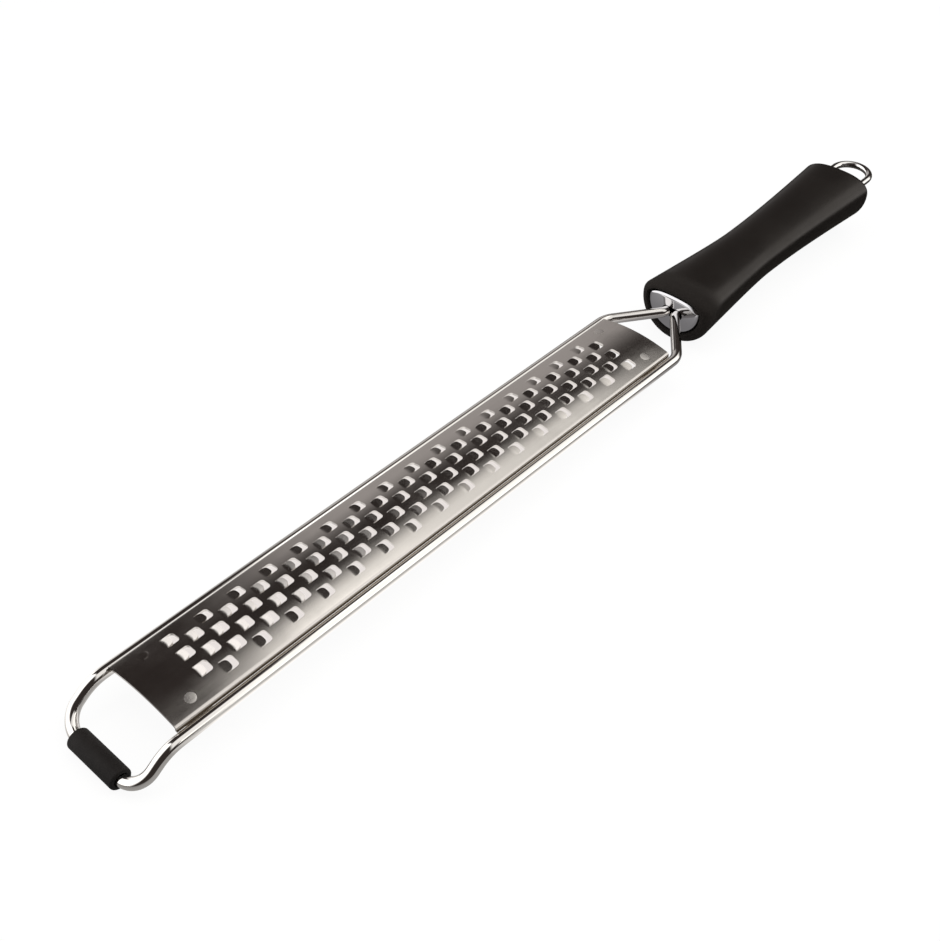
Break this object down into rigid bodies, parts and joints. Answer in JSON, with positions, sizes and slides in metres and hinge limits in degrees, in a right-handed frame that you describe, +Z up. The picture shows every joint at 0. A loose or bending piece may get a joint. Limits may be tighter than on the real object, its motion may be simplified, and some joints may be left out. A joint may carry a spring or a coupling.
{
  "type": "hand grater",
  "caption": "Long hand grater: arched steel blade with punched teeth in a bent wire frame, with a foot sleeve at the tip, a waisted black handle and a wire loop to hang it by.",
  "frame": {"origin": "on the table, under the middle of the length and on the symmetry plane", "axes": "+X along the blade from the foot sleeve toward the handle, +Z up out of the toothed face"},
  "size_m": [0.4147, 0.038, 0.0256],
  "materials": {
    "polished_steel": "polished stainless sheet",
    "strap_steel": "plain stainless strip",
    "rivet_steel": "plain steel, flush",
    "bright_wire": "bright plated wire",
    "bright_cap": "bright plated",
    "loop_wire": "bright plated wire",
    "black_rubber": "matte black",
    "black_plastic": "matte black, soft sheen"
  },
  "bodies": {
    "root": {"grating_blade": "polished_steel", "front_strap": "strap_steel", "rear_strap": "strap_steel", "rivet_front_near": "rivet_steel", "rivet_front_far": "rivet_steel", "rivet_rear_near": "rivet_steel", "rivet_rear_far": "rivet_steel", "wire_frame": "bright_wire", "foot_sleeve": "black_rubber", "handle_grip": "black_plastic", "end_cap": "bright_cap", "hanging_loop": "loop_wire"}
  },
  "joints": []
}
